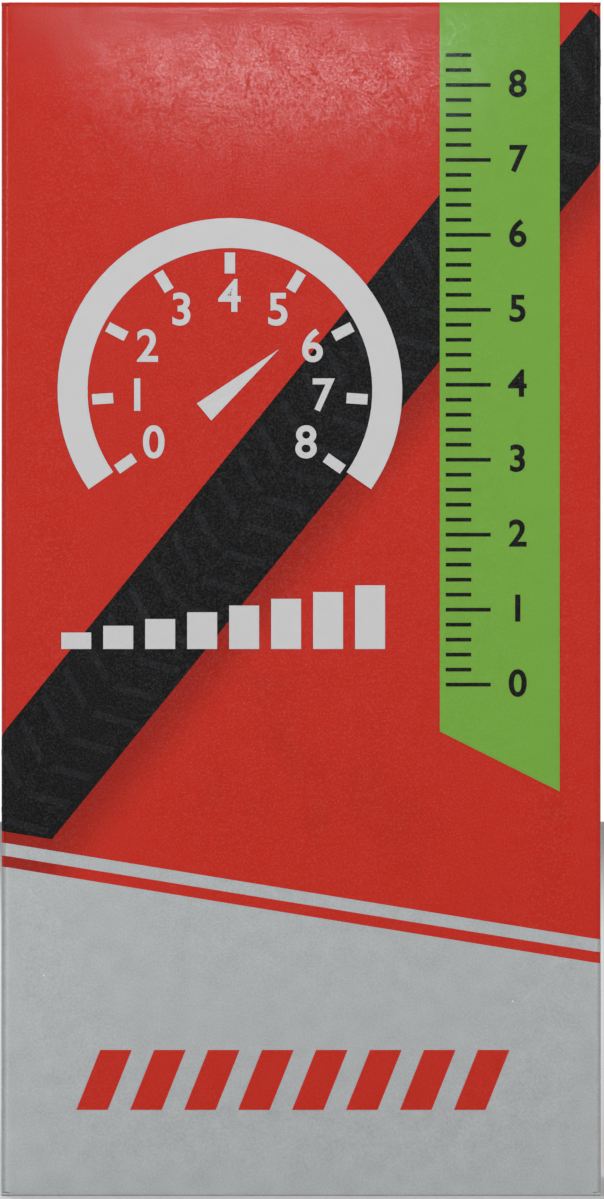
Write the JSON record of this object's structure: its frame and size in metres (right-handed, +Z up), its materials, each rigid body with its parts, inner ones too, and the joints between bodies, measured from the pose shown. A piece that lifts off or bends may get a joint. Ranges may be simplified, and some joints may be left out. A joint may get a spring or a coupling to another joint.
{
  "type": "boxed bicycle inner tube",
  "caption": "Upright tuck-end carton holding a folded butyl bicycle inner tube with a capped car-type valve; lids, tucks, dust flaps, cap and valve pin move.",
  "frame": {"origin": "middle of the carton's base, on the surface it stands on", "axes": "+Z up, the printed front faces -Y, +X to the right seen from the front"},
  "size_m": [0.08, 0.044, 0.1593],
  "materials": {
    "printed_board": "varnished print, satin",
    "butyl_rubber": "matt, talc dusted",
    "latex_band": "matt",
    "valve_rubber": "moulded, satin",
    "nickelled_brass": "bright plated",
    "gasket_plastic": "matt",
    "spring_steel": "bright",
    "cap_plastic": "moulded, satin"
  },
  "bodies": {
    "carton": {"carton_sleeve": "printed_board"},
    "top_lid": {"top_lid": "printed_board"},
    "top_tuck": {"top_tuck": "printed_board"},
    "top_dust_flap_left": {"top_dust_flap_left": "printed_board"},
    "top_dust_flap_right": {"top_dust_flap_right": "printed_board"},
    "bottom_lid": {"bottom_lid": "printed_board"},
    "bottom_tuck": {"bottom_tuck": "printed_board"},
    "bottom_dust_flap_left": {"bottom_dust_flap_left": "printed_board"},
    "bottom_dust_flap_right": {"bottom_dust_flap_right": "printed_board"},
    "tube": {"tube_body": "butyl_rubber", "rubber_band": "latex_band", "valve_patch": "valve_rubber", "valve_rubber": "valve_rubber", "valve_stem": "nickelled_brass", "core_barrel": "nickelled_brass", "core_gasket": "gasket_plastic", "core_spring": "spring_steel"},
    "cap_seal": {"cap_seal": "valve_rubber"},
    "valve_cap": {"valve_cap": "cap_plastic"},
    "valve_pin": {"core_pin": "spring_steel", "core_seal": "valve_rubber"}
  },
  "joints": [
    {"name": "top_lid_hinge", "type": "hinge", "parent": "carton", "child": "top_lid", "pos_m": [0, -0.02172, 0.15905], "axis": [1, 0, 0], "range_deg": [0, 165]},
    {"name": "top_tuck_fold", "type": "hinge", "parent": "top_lid", "child": "top_tuck", "pos_m": [0, 0.02092, 0.15905], "axis": [1, 0, 0], "range_deg": [0, 50]},
    {"name": "top_dust_flap_left_fold", "type": "hinge", "parent": "carton", "child": "top_dust_flap_left", "pos_m": [-0.03975, 0, 0.15825], "axis": [0, -1, 0], "range_deg": [0, 100]},
    {"name": "top_dust_flap_right_fold", "type": "hinge", "parent": "carton", "child": "top_dust_flap_right", "pos_m": [0.03975, 0, 0.15825], "axis": [0, 1, 0], "range_deg": [0, 100]},
    {"name": "bottom_lid_hinge", "type": "hinge", "parent": "carton", "child": "bottom_lid", "pos_m": [0, -0.02172, 0.00025], "axis": [-1, 0, 0], "range_deg": [0, 165]},
    {"name": "bottom_tuck_fold", "type": "hinge", "parent": "bottom_lid", "child": "bottom_tuck", "pos_m": [0, 0.02092, 0.00025], "axis": [-1, 0, 0], "range_deg": [0, 50]},
    {"name": "bottom_dust_flap_left_fold", "type": "hinge", "parent": "carton", "child": "bottom_dust_flap_left", "pos_m": [-0.03975, 0, 0.00105], "axis": [0, 1, 0], "range_deg": [0, 100]},
    {"name": "bottom_dust_flap_right_fold", "type": "hinge", "parent": "carton", "child": "bottom_dust_flap_right", "pos_m": [0.03975, 0, 0.00105], "axis": [0, -1, 0], "range_deg": [0, 100]},
    {"name": "tube_slide", "type": "slide", "parent": "carton", "child": "tube", "axis": [0, 0, 1], "range_m": [0, 0.007]},
    {"name": "cap_lift", "type": "slide", "parent": "tube", "child": "cap_seal", "axis": [0, 0, 1], "range_m": [0, 0.00397]},
    {"name": "cap_spin", "type": "hinge", "parent": "cap_seal", "child": "valve_cap", "pos_m": [0, -0.001, 0.14], "axis": [0, 0, 1], "range_deg": [0, 1980]},
    {"name": "pin_press", "type": "slide", "parent": "tube", "child": "valve_pin", "axis": [0, 0, -1], "range_m": [0, 0.0012], "stiffness_N_per_m": 500, "springref_m": -0.001, "deforming": ["core_spring"]}
  ],
  "couplings": [
    {"joint": "top_tuck_fold", "follows": "top_lid_hinge", "ratio": 0.25},
    {"joint": "top_dust_flap_left_fold", "follows": "top_lid_hinge", "ratio": 0.5},
    {"joint": "top_dust_flap_right_fold", "follows": "top_lid_hinge", "ratio": 0.5},
    {"joint": "bottom_tuck_fold", "follows": "bottom_lid_hinge", "ratio": 0.25},
    {"joint": "bottom_dust_flap_left_fold", "follows": "bottom_lid_hinge", "ratio": 0.5},
    {"joint": "bottom_dust_flap_right_fold", "follows": "bottom_lid_hinge", "ratio": 0.5},
    {"joint": "cap_spin", "follows": "cap_lift", "rad_per_m": 7913.3}
  ]
}
